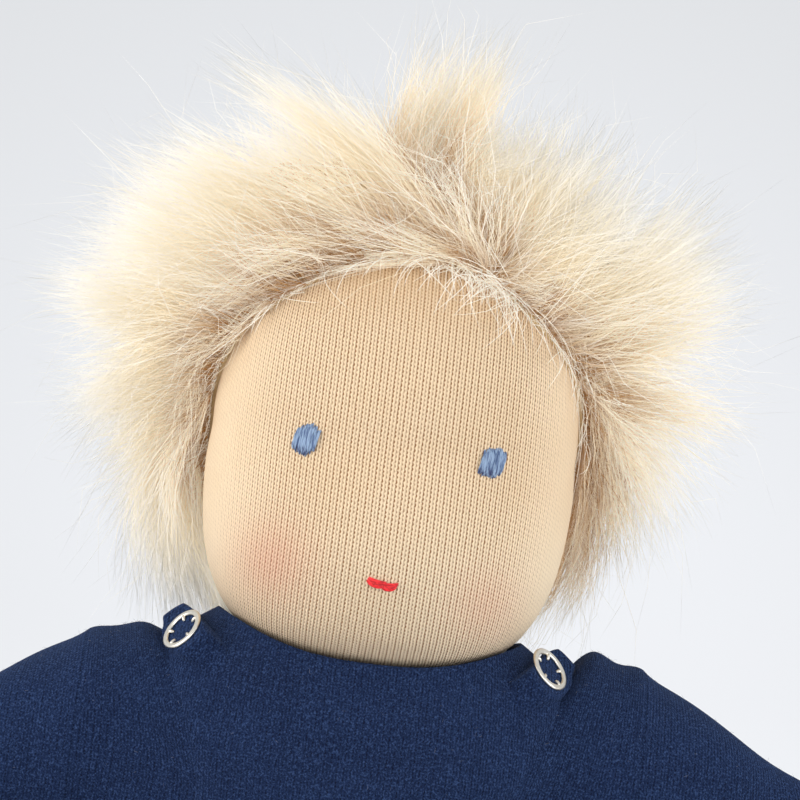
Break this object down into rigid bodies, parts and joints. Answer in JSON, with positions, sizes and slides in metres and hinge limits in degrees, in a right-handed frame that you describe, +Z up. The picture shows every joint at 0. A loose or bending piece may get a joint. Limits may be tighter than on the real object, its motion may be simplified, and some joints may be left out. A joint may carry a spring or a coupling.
{
  "type": "waldorf doll",
  "caption": "Seated cloth doll with a fluffy blond wig, stitched eyes and mouth, and a navy knitted romper closed by ring snaps at the shoulders.",
  "frame": {"origin": "middle of the doll's seat and legs on the surface that it sits on", "axes": "+Z up, -Y the way that the doll looks, +X the doll's own left"},
  "size_m": [0.2792, 0.2496, 0.2381],
  "materials": {
    "tricot": "matte",
    "wool": "matte",
    "thread": "matte",
    "blue_yarn": "matte",
    "red_yarn": "matte",
    "fur": "matte",
    "fur_backing": "matte",
    "navy_knit": "matte",
    "nickel": "satin"
  },
  "bodies": {
    "torso": {"torso_stuffing": "wool", "torso_skin": "tricot", "romper_front": "navy_knit", "romper_back": "navy_knit", "neck_band_front": "navy_knit", "neck_band_back": "navy_knit", "snap_stud_left": "nickel", "snap_back_ring_left": "nickel", "snap_stud_right": "nickel", "snap_back_ring_right": "nickel"},
    "neck": {"neck_core": "wool", "neck_tie": "thread"},
    "head": {"head_core": "wool", "inner_head": "wool", "head_threads": "thread", "head_skin": "tricot", "eye_left": "blue_yarn", "eye_right": "blue_yarn", "mouth": "red_yarn", "wig_backing": "fur_backing", "wig_pile": "fur"},
    "shoulder_left": {"arm_seam_left": "thread"},
    "arm_left": {"arm_stuffing_left": "wool", "arm_skin_left": "tricot", "sleeve_left": "navy_knit", "sleeve_cuff_left": "navy_knit"},
    "leg_left": {"leg_stuffing_left": "wool", "leg_skin_left": "tricot", "trouser_leg_left": "navy_knit", "ankle_cuff_left": "navy_knit"},
    "tab_left": {"shoulder_tab_left": "navy_knit", "snap_ring_left": "nickel", "snap_socket_left": "nickel"},
    "shoulder_right": {"arm_seam_right": "thread"},
    "arm_right": {"arm_stuffing_right": "wool", "arm_skin_right": "tricot", "sleeve_right": "navy_knit", "sleeve_cuff_right": "navy_knit"},
    "leg_right": {"leg_stuffing_right": "wool", "leg_skin_right": "tricot", "trouser_leg_right": "navy_knit", "ankle_cuff_right": "navy_knit"},
    "tab_right": {"shoulder_tab_right": "navy_knit", "snap_ring_right": "nickel", "snap_socket_right": "nickel"}
  },
  "joints": [
    {"name": "neck_nod", "type": "hinge", "parent": "torso", "child": "neck", "pos_m": [0, 0.04689, 0.088], "axis": [1, 0, 0], "range_deg": [-10, 6], "stiffness_Nm_per_rad": 1.2},
    {"name": "neck_turn", "type": "hinge", "parent": "neck", "child": "head", "pos_m": [0, 0.04489, 0.088], "axis": [0, 0, 1], "range_deg": [-35, 35], "stiffness_Nm_per_rad": 0.15},
    {"name": "arm_swing_left", "type": "hinge", "parent": "torso", "child": "shoulder_left", "pos_m": [0.052, 0.04689, 0.094], "axis": [-1, 0, 0], "range_deg": [-30, 90], "stiffness_Nm_per_rad": 0.12},
    {"name": "arm_raise_left", "type": "hinge", "parent": "shoulder_left", "child": "arm_left", "pos_m": [0.052, 0.04689, 0.094], "axis": [0, -1, 0], "range_deg": [-12, 60], "stiffness_Nm_per_rad": 0.12},
    {"name": "hip_left", "type": "hinge", "parent": "torso", "child": "leg_left", "pos_m": [0.024, 0.01089, 0.021], "axis": [1, 0, 0], "range_deg": [-10, 90]},
    {"name": "tab_left_open", "type": "hinge", "parent": "torso", "child": "tab_left", "pos_m": [0.03342, 0.02754, 0.10489], "axis": [0.6727, -0.1526, -0.724], "range_deg": [0, 95]},
    {"name": "arm_swing_right", "type": "hinge", "parent": "torso", "child": "shoulder_right", "pos_m": [-0.052, 0.04689, 0.094], "axis": [-1, 0, 0], "range_deg": [-30, 90], "stiffness_Nm_per_rad": 0.12},
    {"name": "arm_raise_right", "type": "hinge", "parent": "shoulder_right", "child": "arm_right", "pos_m": [-0.052, 0.04689, 0.094], "axis": [0, 1, 0], "range_deg": [-12, 60], "stiffness_Nm_per_rad": 0.12},
    {"name": "hip_right", "type": "hinge", "parent": "torso", "child": "leg_right", "pos_m": [-0.024, 0.01089, 0.021], "axis": [1, 0, 0], "range_deg": [-10, 90]},
    {"name": "tab_right_open", "type": "hinge", "parent": "torso", "child": "tab_right", "pos_m": [-0.03342, 0.02754, 0.10489], "axis": [0.6727, 0.1526, 0.724], "range_deg": [0, 95]}
  ]
}
